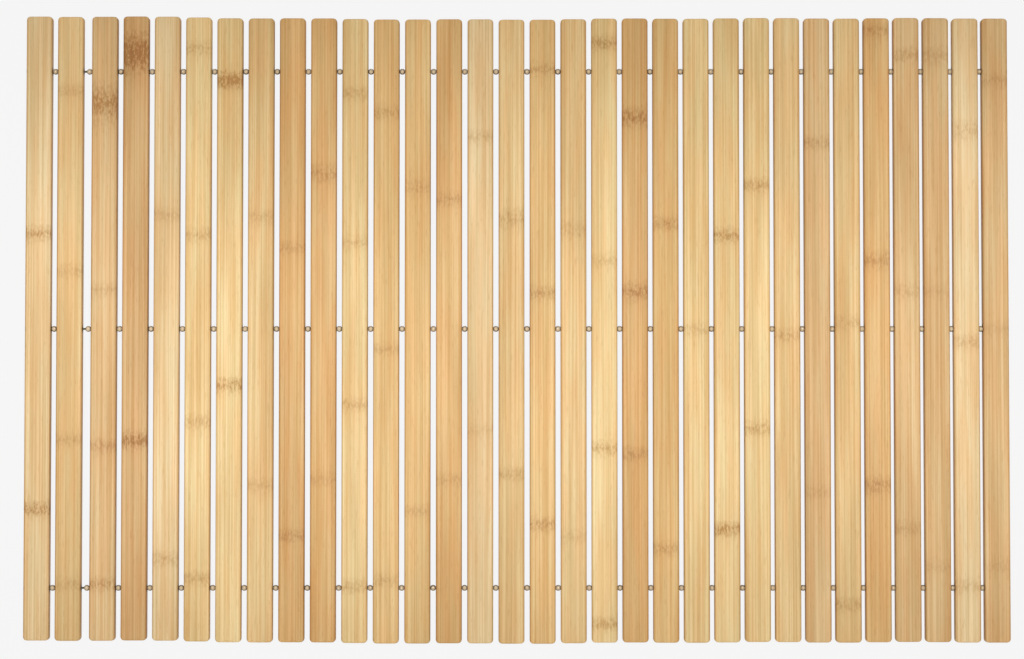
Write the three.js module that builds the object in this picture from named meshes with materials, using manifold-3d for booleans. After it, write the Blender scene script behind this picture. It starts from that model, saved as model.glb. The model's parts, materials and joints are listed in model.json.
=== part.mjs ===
// A roll-up bath mat: bamboo slats strung on three cords, with a round bead in every gap.
// Millimetres. +X runs across the slats, +Y along them, +Z up, and the underside lies at Z = 0.
import * as THREE from "three";
import { mergeVertices } from "three/addons/utils/BufferGeometryUtils.js";
import Module from "manifold-3d";

const wasm = await Module();
wasm.setup();

// Slats
const SLAT_COUNT = 32;
const SLAT_LENGTH = 500;
const SLAT_WIDTH = 20.7;
const SLAT_THICKNESS = 8;
const SLAT_CORNER_RADIUS = 3; // seen from above
const SLAT_EDGE_ROUND = 1.1; // along every long and short edge
const STAGGER = 1.4; // how far a slat may stand out of line, lengthwise

// Cords, beads and the holes they run in
const ROW_INSET = 43; // from the slats' ends to an outer cord
const CORD_DIAMETER = 1.6;
const HOLE_DIAMETER = 4.2;
const BEAD_DIAMETER = 4.8;
const BEAD_SEAT_CLEARANCE = 0.15; // from a bead to the rims that it nests in, in the tightest gap
const LOOSENESS = 1.55; // how much wider than the tightest gap the loosest ones are
const LOOSE_SHARE = 0.4; // the share of the gaps, from the left, that are strung loosest
const SLACK_GAP = 1; // the gap, counted from 0 at the left, that holds the stringing's slack
const SLACK = 2.3; // how much wider than its neighbours that gap is

// The knot that ends each cord, and the pocket it hides in
const KNOT_LENGTH = 4;
const KNOT_SEAT_GAP = 0.3;
const KNOT_SIDE_CLEARANCE = 0.35;
const POCKET_SPARE_DEPTH = 0.7; // how far the knot lies below the slat's outer side
const POCKET_SHOULDER = 0.7; // how far the pocket is wider than the hole, all round

// Facets
const CORNER_SEGMENTS = 2;
const ROUND_SIDES = 8;
const KNOT_RINGS = 6;

// Worked out from the sizes above
const BEAD_RADIUS = BEAD_DIAMETER / 2;
const HOLE_RADIUS = HOLE_DIAMETER / 2;
const CORD_RADIUS = CORD_DIAMETER / 2;
const TIGHT_GAP = 2 * Math.sqrt((BEAD_RADIUS + BEAD_SEAT_CLEARANCE) ** 2 - HOLE_RADIUS ** 2);
const SLAT_PLACES = slatPlaces();
const MAT_LENGTH = 2 * SLAT_PLACES[SLAT_COUNT - 1] + SLAT_WIDTH;
const MID_HEIGHT = SLAT_THICKNESS / 2;
const POCKET_RADIUS = HOLE_RADIUS + POCKET_SHOULDER;
const POCKET_DEPTH = KNOT_SEAT_GAP + KNOT_LENGTH + POCKET_SPARE_DEPTH;
const KNOT_RADIUS = POCKET_RADIUS - KNOT_SIDE_CLEARANCE;
const ROWS = [
  { name: "front", y: ROW_INSET - SLAT_LENGTH / 2 },
  { name: "middle", y: 0 },
  { name: "back", y: SLAT_LENGTH / 2 - ROW_INSET },
];

const slatMaterial = (color) =>
  new THREE.MeshStandardMaterial({ color, roughness: 0.55, metalness: 0 });
const BAMBOO = {
  pale: slatMaterial(0xebcb99),
  honey: slatMaterial(0xe3bc83),
  amber: slatMaterial(0xdcb077),
};
const CORD_MATERIAL = new THREE.MeshStandardMaterial({ color: 0xb79c74, roughness: 0.7 });
const KNOT_MATERIAL = new THREE.MeshStandardMaterial({ color: 0x4a4032, roughness: 0.9 });

// One letter for each slat from left to right: p is pale, h is honey, a is amber.
const SLAT_TONES = "phaapppha" + "aphhhphhh" + "pahppppah" + "ahhph";

// How wide gap number i is before any slack: the stringing tightens towards the right end.
function gapWidth(i) {
  const across = i / (SLAT_COUNT - 2);
  return TIGHT_GAP + LOOSENESS * Math.min(1, (1 - across) / (1 - LOOSE_SHARE));
}

// The middle of each slat along X, with the mat as a whole centred.
function slatPlaces() {
  const places = [0];
  for (let i = 0; i < SLAT_COUNT - 1; i++) {
    const slack = i === SLACK_GAP ? SLACK : 0;
    places.push(places[i] + SLAT_WIDTH + gapWidth(i) + slack);
  }
  const middle = places[SLAT_COUNT - 1] / 2;
  return places.map((place) => place - middle);
}

// A closed geometry as a solid with its shared vertices merged.
function toSolid(geometry) {
  const bare = new THREE.BufferGeometry();
  bare.setAttribute("position", geometry.getAttribute("position"));
  bare.setIndex(geometry.getIndex());
  const merged = mergeVertices(bare);
  return new wasm.Manifold(
    new wasm.Mesh({
      numProp: 3,
      vertProperties: merged.getAttribute("position").array,
      triVerts: new Uint32Array(merged.getIndex().array),
    }),
  );
}

function toGeometry(solid) {
  const { vertProperties, triVerts } = solid.getMesh();
  const indexed = new THREE.BufferGeometry();
  indexed.setAttribute("position", new THREE.BufferAttribute(vertProperties, 3));
  indexed.setIndex(new THREE.BufferAttribute(triVerts, 1));
  const faceted = indexed.toNonIndexed();
  faceted.computeVertexNormals();
  return faceted;
}

function roundedRectangle(width, height, radius) {
  const [x, y] = [width / 2 - radius, height / 2 - radius];
  const shape = new THREE.Shape();
  shape.absarc(x, y, radius, 0, Math.PI / 2);
  shape.absarc(-x, y, radius, Math.PI / 2, Math.PI);
  shape.absarc(-x, -y, radius, Math.PI, 1.5 * Math.PI);
  shape.absarc(x, -y, radius, 1.5 * Math.PI, 2 * Math.PI);
  return shape;
}

// A slat centred on the origin, before it is drilled.
function slatBlank() {
  const inset = 2 * SLAT_EDGE_ROUND;
  const outline = roundedRectangle(
    SLAT_WIDTH - inset,
    SLAT_LENGTH - inset,
    SLAT_CORNER_RADIUS - SLAT_EDGE_ROUND,
  );
  const depth = SLAT_THICKNESS - inset;
  const blank = new THREE.ExtrudeGeometry(outline, {
    depth,
    curveSegments: CORNER_SEGMENTS,
    bevelThickness: SLAT_EDGE_ROUND,
    bevelSize: SLAT_EDGE_ROUND,
    bevelSegments: 1,
  });
  blank.translate(0, 0, -depth / 2);
  return toSolid(blank);
}

// A round tool along X, for a hole or a pocket.
function drill(radius, length, x, y) {
  const tool = new THREE.CylinderGeometry(radius, radius, length, ROUND_SIDES);
  tool.rotateZ(-Math.PI / 2);
  tool.translate(x, y, 0);
  return toSolid(tool);
}

// How far slat number i stands out of line: the first few slats stand forward together, those
// left of the middle stand back, and each is shaken a little.
function shift(i) {
  const across = i / (SLAT_COUNT - 1);
  const forward = Math.exp(-((across / 0.18) ** 4));
  const back = 0.75 * Math.exp(-(((across - 0.45) / 0.15) ** 2));
  return STAGGER * (forward - back + 0.2 * Math.sin(5 * i));
}

// Each slat's place along Y, with the mat as a whole centred.
function staggers() {
  const shifts = Array.from({ length: SLAT_COUNT }, (_, i) => shift(i));
  const middle = (Math.min(...shifts) + Math.max(...shifts)) / 2;
  return shifts.map((value) => value - middle);
}

// A drilled slat, centred on the origin. outerSide is -1 or 1 on the two end slats, which hold
// the cords' knots in pockets, and 0 on the others.
function slatSolid(stagger, outerSide) {
  let slat = slatBlank();
  for (const row of ROWS) {
    slat = slat.subtract(drill(HOLE_RADIUS, 2 * SLAT_WIDTH, 0, row.y - stagger));
    if (outerSide === 0) continue;
    const side = (outerSide * SLAT_WIDTH) / 2;
    slat = slat.subtract(drill(POCKET_RADIUS, 2 * POCKET_DEPTH, side, row.y - stagger));
  }
  return slat;
}

function makeSlat(i, stagger) {
  const outerSide = i === 0 ? -1 : i === SLAT_COUNT - 1 ? 1 : 0;
  const tone = { p: "pale", h: "honey", a: "amber" }[SLAT_TONES[i % SLAT_TONES.length]];
  const slat = new THREE.Mesh(toGeometry(slatSolid(stagger, outerSide)), BAMBOO[tone]);
  slat.name = "slat_" + String(i + 1).padStart(2, "0");
  slat.position.set(SLAT_PLACES[i], stagger, MID_HEIGHT);
  return slat;
}

// A bead's outline from the cord out to its widest and back, round its middle.
function beadProfile(middle) {
  const reach = Math.sqrt(BEAD_RADIUS ** 2 - CORD_RADIUS ** 2);
  const slope = BEAD_RADIUS * Math.SQRT1_2;
  return [
    new THREE.Vector2(CORD_RADIUS, middle - reach),
    new THREE.Vector2(slope, middle - slope),
    new THREE.Vector2(BEAD_RADIUS, middle),
    new THREE.Vector2(slope, middle + slope),
    new THREE.Vector2(CORD_RADIUS, middle + reach),
  ];
}

// A cord from pocket to pocket, with a bead in the middle of each gap. In the slack gap the bead
// keeps close to the slat on its right.
function makeBeadedCord(row) {
  const end = MAT_LENGTH / 2 - POCKET_DEPTH;
  const profile = [new THREE.Vector2(0, -end), new THREE.Vector2(CORD_RADIUS, -end)];
  for (let i = 0; i < SLAT_COUNT - 1; i++) {
    profile.push(...beadProfile(SLAT_PLACES[i + 1] - (SLAT_WIDTH + gapWidth(i)) / 2));
  }
  profile.push(new THREE.Vector2(CORD_RADIUS, end), new THREE.Vector2(0, end));
  const turned = new THREE.LatheGeometry(profile, ROUND_SIDES);
  turned.rotateZ(-Math.PI / 2);
  const cord = new THREE.Mesh(turned, CORD_MATERIAL);
  cord.name = "beaded_cord_" + row.name;
  cord.position.set(0, row.y, MID_HEIGHT);
  return cord;
}

// The knot seated on the floor of its pocket, side -1 on the left and 1 on the right.
function makeEndKnot(row, side) {
  const round = new THREE.SphereGeometry(1, ROUND_SIDES, KNOT_RINGS);
  round.scale(KNOT_RADIUS, KNOT_LENGTH / 2, KNOT_RADIUS);
  round.rotateZ(-Math.PI / 2);
  const knot = new THREE.Mesh(round, KNOT_MATERIAL);
  knot.name = "end_knot_" + (side < 0 ? "left_" : "right_") + row.name;
  const floor = MAT_LENGTH / 2 - POCKET_DEPTH;
  knot.position.set(side * (floor + KNOT_SEAT_GAP + KNOT_LENGTH / 2), row.y, MID_HEIGHT);
  return knot;
}

const slats = new THREE.Group();
staggers().forEach((stagger, i) => slats.add(makeSlat(i, stagger)));

const stringing = new THREE.Group();
for (const row of ROWS) {
  stringing.add(makeBeadedCord(row), makeEndKnot(row, -1), makeEndKnot(row, 1));
}

const bathMat = new THREE.Group();
bathMat.add(slats, stringing);

export default bathMat;
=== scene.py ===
# %% [markdown]
# # A roll-up bath mat of bamboo slats
# Thirty-two bamboo slats hang side by side on three cords. A small round bead keeps each pair
# of slats apart on every cord, so water runs off between them and the mat rolls up.
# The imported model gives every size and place, in metres. It is loaded first, and the finer
# pieces made here take over from its plain ones.

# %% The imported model
import json
from itertools import pairwise

import bmesh
import bpy
import numpy as np
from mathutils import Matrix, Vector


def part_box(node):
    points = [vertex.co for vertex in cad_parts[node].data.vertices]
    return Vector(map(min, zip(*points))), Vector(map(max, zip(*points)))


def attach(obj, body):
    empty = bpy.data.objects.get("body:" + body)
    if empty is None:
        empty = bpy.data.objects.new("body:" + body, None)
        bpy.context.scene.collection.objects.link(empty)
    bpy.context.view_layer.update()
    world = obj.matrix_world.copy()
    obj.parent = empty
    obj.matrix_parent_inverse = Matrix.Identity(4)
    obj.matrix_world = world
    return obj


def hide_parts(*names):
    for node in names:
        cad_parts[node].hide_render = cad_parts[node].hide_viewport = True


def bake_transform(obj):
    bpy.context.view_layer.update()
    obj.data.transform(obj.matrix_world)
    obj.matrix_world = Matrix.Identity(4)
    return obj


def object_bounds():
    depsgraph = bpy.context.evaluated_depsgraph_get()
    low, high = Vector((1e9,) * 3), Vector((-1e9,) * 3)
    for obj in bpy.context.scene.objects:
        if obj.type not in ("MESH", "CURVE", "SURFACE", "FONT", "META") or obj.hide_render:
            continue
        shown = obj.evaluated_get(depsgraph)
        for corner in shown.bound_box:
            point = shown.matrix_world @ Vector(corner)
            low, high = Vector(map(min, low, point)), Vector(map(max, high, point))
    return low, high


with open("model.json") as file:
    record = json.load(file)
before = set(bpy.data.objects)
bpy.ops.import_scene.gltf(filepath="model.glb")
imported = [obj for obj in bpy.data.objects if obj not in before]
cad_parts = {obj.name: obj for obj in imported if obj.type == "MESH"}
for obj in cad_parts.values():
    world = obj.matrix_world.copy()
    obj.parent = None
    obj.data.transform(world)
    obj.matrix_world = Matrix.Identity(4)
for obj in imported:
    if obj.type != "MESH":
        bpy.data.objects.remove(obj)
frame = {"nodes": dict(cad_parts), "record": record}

CAD_LOW, CAD_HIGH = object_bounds()
SLAT_NODES = sorted(n for n in frame["nodes"] if n.startswith("slat_"))
ROW_NAMES = ("front", "middle", "back")
print(len(SLAT_NODES), "slats, mat size in mm:", [round(1000 * v) for v in CAD_HIGH - CAD_LOW])

# %% [markdown]
# ## The camera
# A mat is seen whole from nearly straight above. A camera with no rotation looks down, with
# the far edge of the mat at the top of the picture. This one leans back by two degrees, so the
# far edge comes out a little shorter than the near one. It stands a little over two metres off,
# close enough to show the inner sides of the outer slats. The lens follows from that distance
# and from the width that the picture takes in, by similar triangles.

# %% The camera
SENSOR_WIDTH = 36  # millimetres
CAMERA_DISTANCE = 2.2  # from the tops of the slats
CAMERA_LEAN = np.radians(2.1)
PICTURE_WIDTH = 0.8195  # what the picture takes in there
AIM_LEFT, AIM_NEAR = 0.0039, 0.0006  # how far the aim is from the mat's middle

middle = (CAD_LOW + CAD_HIGH) / 2
camera_data = bpy.data.cameras.new("camera")
camera_data.sensor_width = SENSOR_WIDTH
camera_data.lens = SENSOR_WIDTH * CAMERA_DISTANCE / PICTURE_WIDTH
camera = bpy.data.objects.new("camera", camera_data)
back, up = CAMERA_DISTANCE * np.sin(CAMERA_LEAN), CAMERA_DISTANCE * np.cos(CAMERA_LEAN)
camera.location = (middle.x - AIM_LEFT, middle.y - AIM_NEAR - back, CAD_HIGH.z + up)
camera.rotation_euler.x = CAMERA_LEAN
bpy.context.scene.collection.objects.link(camera)
bpy.context.scene.camera = camera
print("lens in mm:", round(camera_data.lens, 1))

# %% [markdown]
# ## Laying shader nodes in few words
# A procedural finish is a tree of nodes, and most of its nodes are sums, noises and mixes.
# A small class lays one node for each call and plugs its inputs, so that a finish reads like a
# formula. A number sets a socket, and an output links to it.


# %% A bench for node trees
class Bench:
    """Lays nodes in one tree. Unless it says otherwise, a call returns the node's output."""

    def __init__(self, tree):
        self.tree = tree

    def plug(self, socket, value):
        """Links an output to the socket, or sets the socket's own value."""
        if isinstance(value, bpy.types.NodeSocket):
            self.tree.links.new(value, socket)
        else:
            socket.default_value = value

    def node(self, kind, **inputs):
        """A node of any kind, as itself. An underscore stands for a space in a socket's name."""
        made = self.tree.nodes.new(kind)
        for name, value in inputs.items():
            self.plug(made.inputs[name.replace("_", " ")], value)
        return made

    def group(self, tree, **inputs):
        """One use of a node group, as the node."""
        made = self.tree.nodes.new("ShaderNodeGroup")
        made.node_tree = tree
        for name, value in inputs.items():
            self.plug(made.inputs[name], value)
        return made

    def sum(self, operation, *values):
        """One step of arithmetic, whatever the operation."""
        made = self.tree.nodes.new("ShaderNodeMath")
        made.operation = operation
        for socket, value in zip(made.inputs, values):
            self.plug(socket, value)
        return made.outputs[0]

    def stretched(self, vector, along):
        """Coordinates squeezed along Y, so that a noise on them comes out that much longer."""
        return self.node("ShaderNodeMapping", Vector=vector, Scale=(1, 1 / along, 1)).outputs[0]

    def noise(self, vector, scale, detail=2.0):
        """Smooth noise between 0 and 1, with scale blobs to the metre."""
        made = self.node("ShaderNodeTexNoise", Vector=vector, Scale=scale, Detail=detail)
        return made.outputs["Fac"]

    def between(self, value, low, high, start=0.0, end=1.0):
        """A soft step: start where value is under low, end where it is over high."""
        made = self.node("ShaderNodeMapRange", Value=value)
        made.interpolation_type = "SMOOTHSTEP"
        for name, number in (("From Min", low), ("From Max", high)):
            self.plug(made.inputs[name], number)
        for name, number in (("To Min", start), ("To Max", end)):
            self.plug(made.inputs[name], number)
        return made.outputs[0]

    def mixed(self, factor, a, b, way="MIX"):
        """Colour a where the factor is 0, and colour b, or a times b, where it is 1."""
        made = self.tree.nodes.new("ShaderNodeMix")
        made.data_type, made.blend_type = "RGBA", way
        for place, value in ((0, factor), (6, a), (7, b)):
            self.plug(made.inputs[place], value)
        return made.outputs[2]

    def attribute(self, name, output="Fac"):
        made = self.tree.nodes.new("ShaderNodeAttribute")
        made.attribute_name = name
        return made.outputs[output]

    def bump(self, height, strength, distance):
        made = self.node("ShaderNodeBump", Height=height, Strength=strength, Distance=distance)
        return made.outputs[0]


# %% [markdown]
# Paint and wood colours are easiest to pick as the hexadecimal codes of a colour picker, but
# shaders work with linear light. The helper turns one into the other with the sRGB curve.


# %% Colours
def colour(code):
    """The linear colour of a hexadecimal code: the sRGB curve undone, channel by channel."""
    shares = np.array([int(code[i : i + 2], 16) / 255 for i in (0, 2, 4)])
    low, high = shares / 12.92, ((shares + 0.055) / 1.055) ** 2.4
    return (*np.where(shares <= 0.04045, low, high), 1.0)


def new_material(name):
    """An empty material: its bench, its Principled shader, and itself."""
    material = bpy.data.materials.new(name)
    material.use_nodes = True
    return Bench(material.node_tree), material.node_tree.nodes["Principled BSDF"], material


def new_group(name, inputs, outputs):
    """An empty node group with named sockets: its bench, its inside inputs and outputs."""
    tree = bpy.data.node_groups.new(name, "ShaderNodeTree")
    kinds = {"vector": "NodeSocketVector", "value": "NodeSocketFloat"}
    for direction, sockets in (("INPUT", inputs), ("OUTPUT", outputs)):
        for label, kind in sockets.items():
            tree.interface.new_socket(label, in_out=direction, socket_type=kinds[kind])
    inside = tree.nodes.new("NodeGroupInput").outputs
    return Bench(tree), inside, tree.nodes.new("NodeGroupOutput").inputs


# %% [markdown]
# ## Light and floor
# The mat lies on a plain pale floor under one long, soft lamp and an even pale sky. The lamp
# hangs across the slats, a little to the near side, and a grid keeps its light in a narrow fan.
# So the slats are brightest just short of their middles and dim towards the ends, most of all
# the far ones. Bright light also comes up through the gaps, so the floor glows a little of its
# own, as a light table does. It is clear from below, so that the underside can be looked at.

# %% Light and floor
PALE = colour("f5f5f5")
SKY_LIGHT = 0.5
LAMP_WATTS = 2.67
LAMP_LENGTH, LAMP_WIDTH = 2.2, 0.3  # metres across the slats, and along them
LAMP_PLACE = (0, -0.027, 1.5)
LAMP_FAN = np.radians(42)
FLOOR_GLOW = 0.975
FLOOR_SIZE = 60
FLOOR_DROP = 0.0004  # a hair under the slats, so that the surfaces don't flicker together

bpy.context.scene.view_settings.view_transform = "Standard"

world = bpy.data.worlds.new("sky")
world.use_nodes = True
bpy.context.scene.world = world
sky = Bench(world.node_tree)
background = world.node_tree.nodes["Background"]
seen = sky.node("ShaderNodeLightPath").outputs["Is Camera Ray"]
sky.plug(background.inputs["Color"], PALE)
sky.plug(background.inputs["Strength"], sky.between(seen, 0, 1, SKY_LIGHT, 1))

lamp_data = bpy.data.lights.new("softbox", "AREA")
lamp_data.energy, lamp_data.spread = LAMP_WATTS, LAMP_FAN
lamp_data.shape = "RECTANGLE"
lamp_data.size, lamp_data.size_y = LAMP_LENGTH, LAMP_WIDTH
lamp = bpy.data.objects.new("softbox", lamp_data)
lamp.location = LAMP_PLACE
lamp.visible_camera = False
bpy.context.scene.collection.objects.link(lamp)

bench, shader, floor_finish = new_material("pale floor")
bench.plug(shader.inputs["Base Color"], colour("303030"))
bench.plug(shader.inputs["Specular IOR Level"], 0.0)
bench.plug(shader.inputs["Emission Color"], PALE)
bench.plug(shader.inputs["Emission Strength"], FLOOR_GLOW)
clear = bench.node("ShaderNodeBsdfTransparent").outputs[0]
below = bench.node("ShaderNodeNewGeometry").outputs["Backfacing"]
seen_through = bench.tree.nodes.new("ShaderNodeMixShader")
for place, value in enumerate((below, shader.outputs[0], clear)):
    bench.plug(seen_through.inputs[place], value)
bench.plug(bench.tree.nodes["Material Output"].inputs["Surface"], seen_through.outputs[0])

reach = FLOOR_SIZE / 2
floor_mesh = bpy.data.meshes.new("floor")
corners = [(-reach, -reach), (reach, -reach), (reach, reach), (-reach, reach)]
floor_mesh.from_pydata([(x, y, -FLOOR_DROP) for x, y in corners], [], [(0, 1, 2, 3)])
floor_mesh.materials.append(floor_finish)
floor = bpy.data.objects.new("floor", floor_mesh)
bpy.context.scene.collection.objects.link(floor)
print("floor side in m:", FLOOR_SIZE)

# %% [markdown]
# ## Bamboo, inside and out
# Bamboo is a bundle of long straight fibres in a paler pith. On a planed slat they show as fine
# lines along it, gathered in wider bands, with short dark flecks. Noise in three dimensions,
# drawn out along the slat, gives the same picture: lines on the faces and dots on the cut ends.
# Several pieces use it, so it is a node group.

# %% Node group: bamboo fibre
bench, given, out = new_group(
    "bamboo fibre",
    {"Vector": "vector"},
    {"Fibre": "value", "Flecks": "value", "Clouds": "value", "Drift": "value"},
)
place = given["Vector"]
lines = bench.noise(bench.stretched(place, 200), 1050, 2)
bundles = bench.noise(bench.stretched(place, 90), 420, 2)
clouds = bench.noise(bench.stretched(place, 7), 42, 2)
flecks = bench.noise(bench.stretched(place, 13), 1300, 1)
fibre = bench.sum("MULTIPLY_ADD", lines, 0.65, bench.sum("MULTIPLY", bundles, 0.35))
bench.plug(out["Fibre"], bench.between(fibre, 0.32, 0.68))
bench.plug(out["Flecks"], bench.between(flecks, 0.6, 0.72))
bench.plug(out["Clouds"], bench.between(clouds, 0.3, 0.7))
bench.plug(out["Drift"], bench.between(bench.noise(bench.stretched(place, 12), 150), 0.3, 0.7))
BAMBOO_FIBRE = bench.tree
print("group:", BAMBOO_FIBRE.name, "with", len(BAMBOO_FIBRE.nodes), "nodes")

# %% [markdown]
# A bamboo cane has a knuckle every few hand-widths, where its wall closes across. Planed flat,
# a knuckle is a brown band of short ragged ticks, with a thin dark line on its far side and a
# blotched, warmer patch on its near side. Each slat's mesh says where its knuckles are, with two
# attributes: Side runs from -1 to 1 across the knuckle, and Dark is highest in its middle. The
# group turns them into a stain and a small ridge.

# %% Node group: knuckle
bench, given, out = new_group(
    "knuckle",
    {"Vector": "vector", "Side": "value", "Dark": "value"},
    {"Stain": "value", "Ridge": "value"},
)
place = given["Vector"]
ragged = bench.sum("SUBTRACT", bench.noise(bench.stretched(place, 3), 520, 3), 0.5)
side = bench.sum("MULTIPLY_ADD", ragged, 0.9, given["Side"])
core = bench.between(bench.sum("ABSOLUTE", side), 0.1, 0.55, 1, 0)
line = bench.between(bench.sum("ABSOLUTE", bench.sum("SUBTRACT", side, 0.4)), 0, 0.08, 1, 0)
patch = bench.sum("MULTIPLY", bench.between(side, -1, -0.1), bench.between(side, 0.1, 0.5, 1, 0))
ticks = bench.between(bench.noise(bench.stretched(place, 2.6), 820, 2), 0.42, 0.58)
blots = bench.between(bench.noise(bench.stretched(place, 1.5), 400, 3), 0.42, 0.6)
stain = bench.sum("MULTIPLY", core, bench.sum("MULTIPLY_ADD", ticks, 0.85, 0.15))
stain = bench.sum("MULTIPLY_ADD", line, 0.4, stain)
blots = bench.sum("MULTIPLY_ADD", blots, 0.45, 0.1)
stain = bench.sum("ADD", bench.sum("MULTIPLY_ADD", patch, blots, stain), 0.12)
bench.plug(out["Stain"], bench.sum("MULTIPLY", stain, given["Dark"]))
bench.plug(out["Ridge"], bench.sum("MULTIPLY", core, given["Dark"]))
KNUCKLE = bench.tree
print("group:", KNUCKLE.name, "with", len(KNUCKLE.nodes), "nodes")

# %% [markdown]
# ## The slats' finish
# Each slat has a tint of its own, as it came from its own cane. The tint is an attribute of the
# mesh, and all slats share this one finish. Fibres swing the tint from pale to brown, clouds
# and a slow drift warm it to rose or cool it to green, and the knuckles stain it. The cut ends
# are darker, as they drink more oil. Painted shade darkens the long edges and the sides, and
# more painted shade darkens the sides at the mouths of the cord holes, by the distance from the
# nearest cord, which runs along X. The surface is satin, a little rougher on the fibres.

# %% Material: oiled bamboo
HOLE_SHADE_INNER, HOLE_SHADE_OUTER = 0.0024, 0.0046  # metres from a cord, where the painted shade at a hole's mouth fades out
row_box = np.array(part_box("beaded_cord_back"))
ROW_Y, MID_HEIGHT = (float(v) for v in row_box.mean(axis=0)[1:])
bench, shader, oiled_bamboo = new_material("oiled bamboo")
place = bench.node("ShaderNodeTexCoord").outputs["Object"]
fibre = bench.group(BAMBOO_FIBRE, Vector=place)
side, dark = bench.attribute("knuckle_side"), bench.attribute("knuckle_dark")
knuckle = bench.group(KNUCKLE, Vector=place, Side=side, Dark=dark)

tint = bench.attribute("tint", "Color")
swing = bench.mixed(fibre.outputs["Fibre"], (0.875, 0.84, 0.71, 1), (1.075, 1.145, 1.175, 1))
wood = bench.mixed(1.0, tint, swing, "MULTIPLY")
drift = bench.mixed(fibre.outputs["Drift"], (1.02, 0.93, 0.83, 1), (1.0, 1.03, 1.02, 1))
wood = bench.mixed(1.0, wood, drift, "MULTIPLY")
cloud = bench.mixed(fibre.outputs["Clouds"], (0.9, 0.85, 0.78, 1), (1.05, 1.05, 1.07, 1))
wood = bench.mixed(1.0, wood, cloud, "MULTIPLY")
fleck = bench.sum("MULTIPLY", fibre.outputs["Flecks"], 0.35)
wood = bench.mixed(fleck, wood, (0.78, 0.66, 0.5, 1), "MULTIPLY")
wood = bench.mixed(knuckle.outputs["Stain"], wood, (0.63, 0.48, 0.29, 1), "MULTIPLY")
# painted shade: the long edges and the sides darken towards the outside of the slat
painted_edge_shade = bench.between(bench.sum("ABSOLUTE", bench.attribute("across")), 0.8, 1.0, 0, 0.8)
wood = bench.mixed(painted_edge_shade, wood, (0.72, 0.6, 0.46, 1), "MULTIPLY")
wood = bench.mixed(bench.attribute("endgrain"), wood, (0.72, 0.6, 0.48, 1), "MULTIPLY")

spot = bench.node("ShaderNodeSeparateXYZ", Vector=place).outputs
along = bench.sum("ABSOLUTE", spot["Y"])
along = bench.sum("MINIMUM", along, bench.sum("ABSOLUTE", bench.sum("SUBTRACT", along, ROW_Y)))
above = bench.sum("SUBTRACT", spot["Z"], MID_HEIGHT)
away = bench.sum("POWER", along, 2), bench.sum("POWER", bench.sum("ABSOLUTE", above), 2)
away = bench.sum("SQRT", bench.sum("ADD", *away))
# painted shade at the mouths of the cord holes: the sides darken near each cord
mouth = bench.between(away, HOLE_SHADE_INNER, HOLE_SHADE_OUTER, 0.9, 0)
mouth = bench.sum("MULTIPLY", mouth, bench.between(painted_edge_shade, 0.1, 0.6))
wood = bench.mixed(mouth, wood, (0.3, 0.22, 0.14, 1), "MULTIPLY")
bench.plug(shader.inputs["Base Color"], wood)
rough = bench.between(fibre.outputs["Fibre"], 0, 1, 0.56, 0.44)
bench.plug(shader.inputs["Roughness"], rough)
bench.plug(shader.inputs["Specular IOR Level"], 0.3)
height = bench.sum("MULTIPLY_ADD", knuckle.outputs["Ridge"], 0.8, fibre.outputs["Fibre"])
bench.plug(shader.inputs["Normal"], bench.bump(height, 0.35, 0.0002))
print("finish:", oiled_bamboo.name, "with", len(bench.tree.nodes), "nodes")

# %% [markdown]
# ## Which slat has which tint and knuckles
# A mat is strung from slats of many canes, so tints and knuckles are picked slat by slat. One
# letter gives the tint. A knuckle has its place, in hundredths of the slat from the far end,
# and its darkness, where 0 is none and 1 is dark brown. A third number is for one that is that
# many times as tall as usual.

# %% Tints and knuckles of the slats
TINTS = {
    "c": colour("e9ca9c"),  # cream
    "s": colour("ebcb95"),  # straw
    "h": colour("e3bf89"),  # honey
    "g": colour("e2ba80"),  # ginger
    "a": colour("ddb177"),  # amber
    "r": colour("ddb785"),  # rose
    "t": colour("d6ab76"),  # toast
}
SLAT_TINTS = "chrtcsshaas" + "ggachgh" + "sagssshrharrcr"
KNUCKLES = [
    [(35, 0.6), (79, 0.8)],
    [(12, 0.3), (41, 0.3), (68, 0.3), (91, 0.3)],
    [(14, 0.75, 2.4), (44, 0.3), (69, 0.4), (91, 0.5)],
    [(6, 1.15, 2.3), (68, 0.8, 1.2)],
    [(32, 0.3), (87, 0.4)],
    [(5, 0.4), (35, 0.4), (65, 0.4), (90, 0.4)],
    [(10, 1.2), (59, 0.8)],
    [(32, 0.3), (75, 0.3)],
    [(37, 0.3), (83, 0.4)],
    [(25, 0.4, 1.3), (74, 0.3)],
    [(12, 0.4), (36, 0.3), (62, 0.4), (91, 0.4)],
    [(15, 0.4), (53, 0.3), (90, 0.3)],
    [(27, 0.3, 1.2), (79, 0.3)],
    [(29, 0.4), (74, 0.3)],
    [(19, 0.3), (66, 0.2)],
    [(32, 0.4, 1.3), (73, 0.4)],
    [(8, 0.4), (44, 0.5), (81, 0.5)],
    [(34, 0.3, 1.4), (83, 0.2)],
    [(4, 0.6), (39, 0.3), (69, 0.5), (97, 0.5)],
    [(16, 0.7, 1.3), (44, 0.6, 1.3), (70, 0.4)],
    [(33, 0.5), (85, 0.4)],
    [(50, 0.3)],
    [(35, 0.6), (82, 0.8)],
    [(27, 0.5), (66, 0.5)],
    [(51, 0.4)],
    [(20, 0.4), (76, 0.2)],
    [(49, 0.3), (94, 0.4)],
    [(2, 0.4), (39, 0.4, 1.3), (75, 0.5, 1.2)],
    [(6, 0.4), (44, 0.3), (82, 0.3)],
    [(6, 0.3, 1.3), (44, 0.2), (88, 0.2)],
    [(18, 0.3, 1.3), (52, 0.4), (91, 0.3)],
    [(10, 0.3), (50, 0.2), (88, 0.2)],
]
print(len(SLAT_TINTS), "tints,", sum(map(len, KNUCKLES)), "knuckles")

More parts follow.
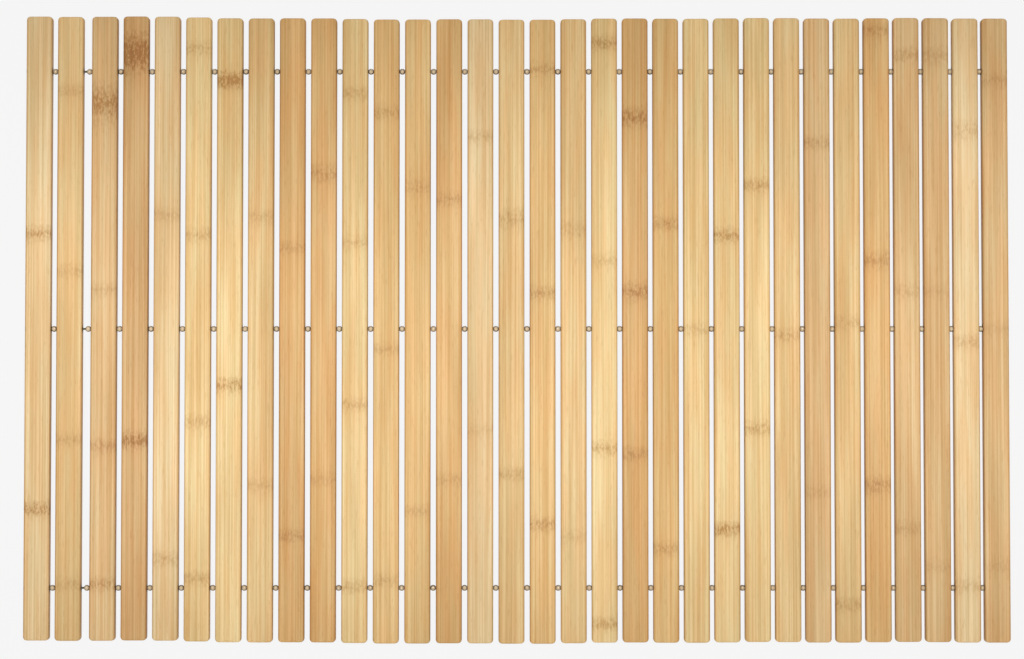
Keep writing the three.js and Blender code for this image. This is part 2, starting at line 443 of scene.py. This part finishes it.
# %% [markdown]
# ## The shape of a slat
# A slat is a rounded rectangle carried along its length. At each end the rectangle narrows
# along a quarter circle, which rounds the corners seen from above, and thins along a smaller
# one, which rounds the end's own edges. The three cord holes run across the slat. A square
# window is left out of both sides there, and one strip of quads leads from the square, drawn in
# to a circle, through the hole and out to the other square. That keeps the surface closed,
# without a Boolean.

# %% Sizes of a slat
MM = 0.001
EDGE_ROUND = 1.1 * MM
CORNER_ROUND = 3 * MM
HOLE_RADIUS = 2.1 * MM
HOLE_RIM = 0.12 * MM  # the small chamfer at a hole's mouth
POCKET_RADIUS, POCKET_DEPTH = 2.8 * MM, 5 * MM  # where a knot hides in an outer slat
SIDE_STEPS, ARC_STEPS, FACE_STEPS = 6, 5, 8
WINDOW_MARGIN = 0.2 * MM  # from a hole's window to the nearest other station
KNUCKLE_REACH = 15 * MM  # from a usual knuckle's middle to the end of its patch
WINDOW = np.linspace(-1, 1, SIDE_STEPS + 1)


# %% The ring and the stations
def section_ring():
    """A rounded rectangle as a ring of points, counted from the foot of the right side.

    A point is flat * (half size - edge round) + arc * edge round. flat runs from corner to
    corner along a straight stretch, and arc is the direction out of the corner's centre."""
    flats, arcs = [], []
    corner = np.array([(1, 1), (-1, 1), (-1, -1), (1, -1)], float)
    for q in range(4):
        t = np.arange(FACE_STEPS if q % 2 else SIDE_STEPS)[:, None]
        t = t / len(t)
        flats += [corner[q - 1] * (1 - t) + corner[q] * t, np.tile(corner[q], (ARC_STEPS, 1))]
        turn = np.concatenate([np.zeros(len(t)), np.arange(ARC_STEPS) / ARC_STEPS])
        turn = (q + turn) * np.pi / 2
        arcs.append(np.stack([np.cos(turn), np.sin(turn)], axis=1))
    return np.concatenate(flats), np.concatenate(arcs)


def stations(half_length, half_flat, rows, patches):
    """The places along a slat where its ring stands: close together at the rounded ends, even
    over each hole's window, and one at the start, middle and end of each knuckle's patch."""
    quarter = CORNER_ROUND * (1 - np.cos(np.linspace(0, np.pi / 2, 7)))
    end = np.append(quarter, EDGE_ROUND)
    windows = (rows[:, None] + half_flat * WINDOW).ravel()
    free = np.concatenate([half_length - end, end - half_length, patches.ravel()])
    free = free[np.abs(free) <= half_length]
    clear = np.abs(free[:, None] - rows).min(axis=1) > half_flat + WINDOW_MARGIN
    return np.unique(np.round(np.concatenate([windows, free[clear]]), 7))


print("points in a ring:", len(section_ring()[0]))


# %% The surface of a slat
def slat_surface(width, length, thickness, rows, patches, pocket_side):
    """A slat round the origin, as points and faces. rows are its holes' places along it, and
    patches the start, middle and end of each knuckle. pocket_side is -1 or 1 where a side has
    knot pockets, and 0 where none has.

    At distance d from an end, each half size is its full value less r - sqrt(r^2 - (r - d)^2),
    with r the corner round for the width and the edge round for the thickness."""
    flat, arc = section_ring()
    half_flat = thickness / 2 - EDGE_ROUND
    y = stations(length / 2, half_flat, rows, patches)
    d = length / 2 - np.abs(y)

    def lost(radius):
        rest = np.clip(radius - d, 0, radius)
        return radius - np.sqrt(radius**2 - rest**2)

    half = np.stack([width / 2 - lost(CORNER_ROUND), thickness / 2 - lost(EDGE_ROUND)], axis=1)
    ring = flat * (half[:, None, :] - EDGE_ROUND) + arc * EDGE_ROUND
    across = np.broadcast_to(y[:, None], ring.shape[:2])
    shell = np.stack([ring[..., 0], across, ring[..., 1]], axis=-1)

    count = len(flat)
    number = np.arange(len(y) * count).reshape(len(y), count)
    after = np.roll(number, -1, axis=1)
    quads = np.stack([number[:-1], number[1:], after[1:], after[:-1]], axis=-1)
    step_middle = (y[:-1] + y[1:]) / 2
    in_window = np.abs(step_middle[:, None] - rows).min(axis=1) < half_flat
    on_side = np.arange(count) % (count // 2) < SIDE_STEPS
    faces = quads[~(in_window[:, None] & on_side)].reshape(-1, 4).tolist()

    tips = np.array([(0, y[0], 0), (0, y[-1], 0)])
    points = [shell.reshape(-1, 3), tips]
    for tip, row in ((number.size, number[0]), (number.size + 1, number[-1])):
        faces += np.stack([row, np.roll(row, -1), np.full(count, tip)], axis=1).tolist()

    start = number.size + 2
    for hole in rows:
        strip = hole_strip(width, half_flat, pocket_side) + (0, hole, 0)
        steps, sides = strip.shape[:2]
        number = start + np.arange(steps * sides).reshape(steps, sides)
        after = np.roll(number, -1, axis=1)
        quads = np.stack([number[:-1], after[:-1], after[1:], number[1:]], axis=-1)
        faces += quads.reshape(-1, 4).tolist()
        points.append(strip.reshape(-1, 3))
        start += steps * sides
    return np.concatenate(points), faces


# %% [markdown]
# The strip for one hole is a stack of rings across the slat. A ring has a share of squareness:
# at 1 it is the window's square, at 0 a circle, and halfway a cushion shape. A pocket in an
# outer side is only two more rings of the wider radius.


# %% The strip through a hole
def hole_strip(width, half_flat, pocket_side):
    """Rings of points from the right side's window to the left side's, round the X axis.

    A ring's points are square * half_flat * q + circle * radius * (1 - q), with q its
    squareness, and each point of the circle lies in the direction of its square's point."""
    side, step = np.ones(SIDE_STEPS), WINDOW[:-1]
    square = np.stack(
        [np.concatenate([step, side, -step, -side]), np.concatenate([-side, step, side, -step])],
        axis=1,
    )
    circle = square / np.linalg.norm(square, axis=1, keepdims=True)

    def mouth(sign):
        """The rings of one side, from the window inwards, as (x, radius, squareness)."""
        deep = sign == pocket_side
        wide = POCKET_RADIUS if deep else HOLE_RADIUS
        x, rim = sign * width / 2, wide + (HOLE_RIM if not deep else HOLE_RIM / 2)
        rings = [(x, rim, 1), (x, rim, 0.5), (x, rim, 0), (x - sign * HOLE_RIM, wide, 0)]
        if deep:
            floor_x = x - sign * POCKET_DEPTH
            rings += [(floor_x, wide, 0), (floor_x, HOLE_RADIUS, 0)]
        return rings

    x, radius, q = np.array(mouth(1) + mouth(-1)[::-1]).T[:, :, None, None]
    ring = square * half_flat * q + circle * radius * (1 - q)
    return np.concatenate([np.broadcast_to(x, (*ring.shape[:2], 1)), ring], axis=-1)


# %% [markdown]
# ## From points and faces to a piece
# A helper makes the mesh, merges the points that lie on each other, turns the faces outwards
# and smooths all but the sharp edges. It prints nothing itself, but stops on a surface that is
# open or inside out, because a leak there would show as a hole in the printed or baked piece.


# %% Making a closed piece
def make_piece(name, points, faces, finish, sharp_degrees=40):
    """A closed mesh object at the origin, with its seams merged and its faces outwards."""
    mesh = bpy.data.meshes.new(name)
    mesh.from_pydata(points.tolist(), [], faces)
    work = bmesh.new()
    work.from_mesh(mesh)
    bmesh.ops.remove_doubles(work, verts=work.verts, dist=0.002 * MM)
    bmesh.ops.recalc_face_normals(work, faces=work.faces)
    if any(len(e.link_faces) != 2 for e in work.edges):
        raise ValueError(name + " is not closed")
    if work.calc_volume(signed=True) < 0:
        bmesh.ops.reverse_faces(work, faces=work.faces)
    work.to_mesh(mesh)
    work.free()
    mesh.shade_smooth()
    mesh.set_sharp_from_angle(angle=np.radians(sharp_degrees))
    mesh.materials.append(finish)
    piece = bpy.data.objects.new(name, mesh)
    bpy.context.scene.collection.objects.link(piece)
    return piece


def places(mesh):
    """The mesh's points as an array."""
    flat = np.empty(3 * len(mesh.vertices), np.float32)
    mesh.vertices.foreach_get("co", flat)
    return flat.reshape(-1, 3)


def write_attribute(mesh, name, values):
    """One number, or one colour, for each point of the mesh."""
    kind, field = ("FLOAT", "value") if values.ndim == 1 else ("FLOAT_COLOR", "color")
    made = mesh.attributes.new(name, kind, "POINT")
    made.data.foreach_set(field, values.astype(np.float32).ravel())


# %% [markdown]
# ## The thirty-two slats
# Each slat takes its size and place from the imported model's slat, rides on the same body and
# stands in for it. Where the slat's finish has to know something about the spot that it
# covers, the mesh tells it: the tint, the share of the way across, the cut ends and the
# knuckles.

# %% The slats
ROWS_Y = np.array([sum(corner.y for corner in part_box("beaded_cord_" + r)) / 2 for r in ROW_NAMES])
slat_boxes = [np.array(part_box(node)) for node in SLAT_NODES]
slat_faces = 0
for i, (node, box) in enumerate(zip(SLAT_NODES, slat_boxes)):
    centre, size = box.mean(axis=0), box[1] - box[0]
    pocket_side = {0: -1, len(SLAT_NODES) - 1: 1}.get(i, 0)
    hundredths, darkness, tallness = np.array([(*k, 1)[:3] for k in KNUCKLES[i]]).T
    knuckles = size[1] * (0.5 - hundredths / 100)
    order = np.argsort(knuckles)
    knuckles, darkness, tallness = knuckles[order], darkness[order], tallness[order]
    reach = KNUCKLE_REACH * tallness[:, None]
    patches = knuckles[:, None] + reach * np.array([-1, 0, 1])
    rows = ROWS_Y - centre[1]
    points, faces = slat_surface(*size, rows, patches, pocket_side)
    slat = make_piece(node + "_bamboo", points + centre, faces, oiled_bamboo)

    local = places(slat.data) - centre
    dark = np.outer(darkness, (0, 1, 0)).ravel()
    sides = np.tile([-1.0, 0, 1], len(knuckles))
    write_attribute(slat.data, "knuckle_side", np.interp(local[:, 1], patches.ravel(), sides))
    write_attribute(slat.data, "knuckle_dark", np.interp(local[:, 1], patches.ravel(), dark, 0, 0))
    write_attribute(slat.data, "across", local[:, 0] / (size[0] / 2))
    at_end = np.abs(local[:, 1]) > size[1] / 2 - 0.01 * MM
    write_attribute(slat.data, "endgrain", at_end.astype(float))
    write_attribute(slat.data, "tint", np.tile(TINTS[SLAT_TINTS[i]], (len(local), 1)))

    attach(slat, node)
    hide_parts(node)
    slat_faces += len(slat.data.polygons)
print(len(SLAT_NODES), "slats,", slat_faces, "faces")

# %% [markdown]
# ## The beads' finish
# The spacers are small turned beads of pale lacquered wood. A bead is pale on top and
# underneath, and painted shade makes it dark olive-brown round its waist. The height above
# the mat's middle plane, as a share of the bead's radius, picks between the two, and every bead
# has its middle in that plane. A coat of clear lacquer gives the small bright spot.

# %% Material: lacquered bead
BEAD_RADIUS = np.ptp(row_box[:, 2]) / 2
bench, shader, lacquered_bead = new_material("lacquered bead")
place = bench.node("ShaderNodeTexCoord").outputs["Object"]
fibre = bench.group(BAMBOO_FIBRE, Vector=place)
height = bench.node("ShaderNodeSeparateXYZ", Vector=place).outputs["Z"]
height = bench.sum("SUBTRACT", height, MID_HEIGHT)
height = bench.sum("ABSOLUTE", bench.sum("MULTIPLY", height, float(1 / BEAD_RADIUS)))
# painted shade: the bead's waist takes the dark olive-brown, its top and bottom the pale wood
painted_shade_height = bench.sum("MULTIPLY_ADD", fibre.outputs["Clouds"], 0.12, height)
crown = bench.between(painted_shade_height, 0.55, 0.85)
wood = bench.mixed(crown, colour("4e432c"), colour("dbc6a4"))
wood = bench.mixed(bench.sum("MULTIPLY", fibre.outputs["Fibre"], 0.4), wood, colour("c9a878"))
bench.plug(shader.inputs["Base Color"], wood)
bench.plug(shader.inputs["Roughness"], bench.between(fibre.outputs["Flecks"], 0, 1, 0.3, 0.45))
bench.plug(shader.inputs["Coat Weight"], 0.3)
bench.plug(shader.inputs["Normal"], bench.bump(fibre.outputs["Fibre"], 0.2, 0.0001))
print("bead radius in mm:", round(1000 * BEAD_RADIUS, 2))

# %% [markdown]
# ## The cords' finish
# The cord is a tight three-strand twist in dark olive. The strands are stripes that wind round
# it, with painted shade in the grooves between them. A stripe's place depends on the way round
# and on the way along, so the pattern reads the cord's own UV map, where U counts turns and V
# counts millimetres. The same stripes, as a bump, give the strands their roundness.

# %% Material: twisted cord
STRANDS, LAY = 3, 5  # strands, and millimetres for one full twist
bench, shader, twisted_cord = new_material("twisted cord")
uv = bench.tree.nodes.new("ShaderNodeUVMap")
uv.uv_map = "cord"
turns = bench.node("ShaderNodeSeparateXYZ", Vector=uv.outputs[0])
wind = bench.sum("MULTIPLY_ADD", turns.outputs["Y"], 1 / LAY, turns.outputs["X"])
strand = bench.sum("SINE", bench.sum("MULTIPLY", wind, STRANDS * 2 * np.pi))
strand = bench.between(strand, -1, 0.6)
hairs = bench.noise(uv.outputs[0], 14, 3)
# painted shade: the grooves between the strands take the dark olive and the strands' crowns the
# paler one, varied by the hairs
shade = bench.sum("MULTIPLY", strand, bench.sum("ADD", hairs, 0.3))
fibre_and_groove_shade_colour = bench.mixed(shade, colour("2f2a1c"), colour("7d7150"))
bench.plug(shader.inputs["Base Color"], fibre_and_groove_shade_colour)
bench.plug(shader.inputs["Roughness"], bench.between(hairs, 0.3, 0.7, 0.65, 0.9))
bench.plug(shader.inputs["Sheen Weight"], 0.2)
height = bench.sum("MULTIPLY_ADD", hairs, 0.3, strand)
bench.plug(shader.inputs["Normal"], bench.bump(height, 0.8, 0.0002))
print("finish:", twisted_cord.name)

# %% [markdown]
# ## Turned and drawn shapes
# A bead is a profile turned round the cord: an arc from one mouth of its bore to the other,
# and straight back through the bore. A stretch of cord is a small circle drawn along a line,
# and a knot is the same circle drawn along a trefoil, the simplest closed knot. All three are
# grids of points that wrap round, so one function joins their faces.


# %% Grids that wrap round
def wrapped_faces(steps, sides, closed):
    """The quads of a grid of steps rings with sides points each. Where closed, the last ring
    joins the first, and otherwise a flat many-sided face ends each side."""
    number = np.arange(steps * sides).reshape(steps, sides)
    ahead = np.roll(number, -1, axis=0)
    here, ahead = (number, ahead) if closed else (number[:-1], ahead[:-1])
    quads = np.stack(
        [here, np.roll(here, -1, axis=1), np.roll(ahead, -1, axis=1), ahead], axis=-1
    )
    ends = [] if closed else [number[0][::-1].tolist(), number[-1].tolist()]
    return quads.reshape(-1, 4).tolist() + ends


def turned(x, radius, sides):
    """The profile (x, radius) turned round the X axis: (x, radius * cos a, radius * sin a)."""
    angle = np.arange(sides) * 2 * np.pi / sides
    ring = np.stack([np.cos(angle), np.sin(angle)], axis=1) * radius[:, None, None]
    return np.concatenate([np.broadcast_to(x[:, None, None], (*ring.shape[:2], 1)), ring], axis=2)


def wrap_uv(mesh, turns, lengths):
    """A UV map from each corner's turn and length. A face that spans the join from the last
    turn to the first counts on past 1, so that the pattern doesn't run back across it."""
    corners = np.empty(len(mesh.loops), int)
    mesh.loops.foreach_get("vertex_index", corners)
    u, v = turns[corners], lengths[corners]
    first = np.empty(len(mesh.polygons), int)
    mesh.polygons.foreach_get("loop_start", first)
    face = np.repeat(np.arange(len(first)), np.diff(np.append(first, len(u))))
    most = np.maximum.reduceat(u, first)[face]
    u = np.where(most - u > 0.5, u + 1, u)
    mesh.uv_layers.new(name="cord").data.foreach_set("uv", np.stack([u, v], axis=1).ravel())


# %% [markdown]
# ## The beads
# Every gap has one bead on each cord. At the right end the gaps are tight, and the beads nest in
# the mouths of the holes. Towards the left the stringing is looser, and in one gap there its
# slack leaves a short stretch of bare cord. Each bead sits on the hinge line between its two
# slats, so its place is the hinge's.

# %% The beads
BORE_RADIUS = 0.95 * MM
BEAD_SIDES, BEAD_STEPS = 16, 8
gaps = np.array([(a[1, 0], b[0, 0]) for a, b in pairwise(slat_boxes)])
hinges = {j["child"]: j["pos_m"][0] for j in frame["record"]["behaviour"]["joints"]}
bead_x = [hinges[node] for node in SLAT_NODES[1:]]

mouth = np.arcsin(BORE_RADIUS / BEAD_RADIUS)
arc = np.linspace(mouth, np.pi - mouth, BEAD_STEPS)
bead_profile = turned(-BEAD_RADIUS * np.cos(arc), BEAD_RADIUS * np.sin(arc), BEAD_SIDES)
bead_faces = wrapped_faces(BEAD_STEPS, BEAD_SIDES, closed=True)
for i, x in enumerate(bead_x):
    for row, y in zip(ROW_NAMES, ROWS_Y):
        points = bead_profile + (x, y, MID_HEIGHT)
        name = f"bead_{row}_{i + 1:02d}"
        bead = make_piece(name, points.reshape(-1, 3), bead_faces, lacquered_bead, 50)
        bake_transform(bead)
        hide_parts("beaded_cord_" + row)
widths = 1000 * (gaps[:, 1] - gaps[:, 0])
print(3 * len(bead_x), "beads of", len(bead_faces), "faces, gaps in mm:", widths.round(1))

# %% [markdown]
# ## The cords
# A cord runs through all the slats, held all the way by their holes. It is made in stretches
# from the middle of one slat to the middle of the next, where the joins are out of sight. Each
# stretch has close rings in the gap between its two slats.

# %% The cords
CORD_RADIUS = 0.8 * MM
CORD_SIDES = 14
BEND_MARGIN, BEND_RINGS = 1.5 * MM, 11  # the close rings of a gap start inside the slats
spine = [(a[:, 0].mean(), b[:, 0].mean()) for a, b in pairwise(slat_boxes)]
spine[0] = (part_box("beaded_cord_middle")[0].x, spine[0][1])
spine[-1] = (spine[-1][0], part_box("beaded_cord_middle")[1].x)
for i, (start, end) in enumerate(spine):
    inner = np.linspace(gaps[i, 0] - BEND_MARGIN, gaps[i, 1] + BEND_MARGIN, BEND_RINGS)
    x = np.concatenate([[start], inner, [end]])
    grid = turned(x, np.full(len(x), CORD_RADIUS), CORD_SIDES)
    turns = np.tile(np.arange(CORD_SIDES) / CORD_SIDES, len(x))
    for row, y in zip(ROW_NAMES, ROWS_Y):
        points = (grid + (0, y, MID_HEIGHT)).reshape(-1, 3)
        faces = wrapped_faces(len(x), CORD_SIDES, closed=False)
        cord = make_piece(f"cord_{row}_{i + 1:02d}", points, faces, twisted_cord)
        wrap_uv(cord.data, turns, np.repeat(x, CORD_SIDES) / MM)
        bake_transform(cord)
        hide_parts("beaded_cord_" + row)
print(3 * len(spine), "stretches of cord")

# %% [markdown]
# ## The end knots
# Each cord ends in a knot that sits in a pocket in the outer side of the first or last slat. A
# trefoil drawn out along the cord is just such an overhand knot, pulled tight.


# %% The knots
KNOT_CORD_RADIUS = 0.7 * MM
KNOT_STEP = 0.4  # millimetres of cord from ring to ring, for the twist


def trefoil_tube(half_length, half_width, tube_radius, steps=72, sides=12):
    """A tube round a trefoil whose own axis is X. The trefoil is (-sin 3t, sin t + 2 sin 2t,
    cos t - 2 cos 2t), with its first part drawn out to the half length and the others to the
    half width, both less the tube's radius. Each ring lies square to the trefoil's direction."""
    t = np.arange(steps)[:, None] * 2 * np.pi / steps
    shape = np.array([half_length - tube_radius, *2 * [(half_width - tube_radius) / 3]])
    waves = (-np.sin(3 * t), np.sin(t) + 2 * np.sin(2 * t), np.cos(t) - 2 * np.cos(2 * t))
    rates = (-3 * np.cos(3 * t), np.cos(t) + 4 * np.cos(2 * t), 4 * np.sin(2 * t) - np.sin(t))
    line, ahead = np.hstack(waves) * shape, np.hstack(rates) * shape
    ahead /= np.linalg.norm(ahead, axis=1, keepdims=True)
    out = np.cross(ahead, (1, 0, 0))
    out /= np.linalg.norm(out, axis=1, keepdims=True)
    angle = np.arange(sides)[:, None] * 2 * np.pi / sides
    ring = np.cos(angle) * out[:, None] + np.sin(angle) * np.cross(ahead, out)[:, None]
    return line[:, None] + tube_radius * ring


for side, slat_node in (("left", SLAT_NODES[0]), ("right", SLAT_NODES[-1])):
    for row in ROW_NAMES:
        node = f"end_knot_{side}_{row}"
        box = np.array(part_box(node))
        half = np.ptp(box, axis=0) / 2
        tube = trefoil_tube(half[0], half[1], KNOT_CORD_RADIUS) + box.mean(axis=0)
        steps, sides = tube.shape[:2]
        faces = wrapped_faces(steps, sides, closed=True)
        knot = make_piece(node + "_tied", tube.reshape(-1, 3), faces, twisted_cord, 60)
        turns = np.tile(np.arange(sides) / sides, steps)
        wrap_uv(knot.data, turns, np.repeat(np.arange(steps) * KNOT_STEP, sides))
        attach(knot, slat_node)
        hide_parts(node)
print("6 knots of", len(faces), "faces")
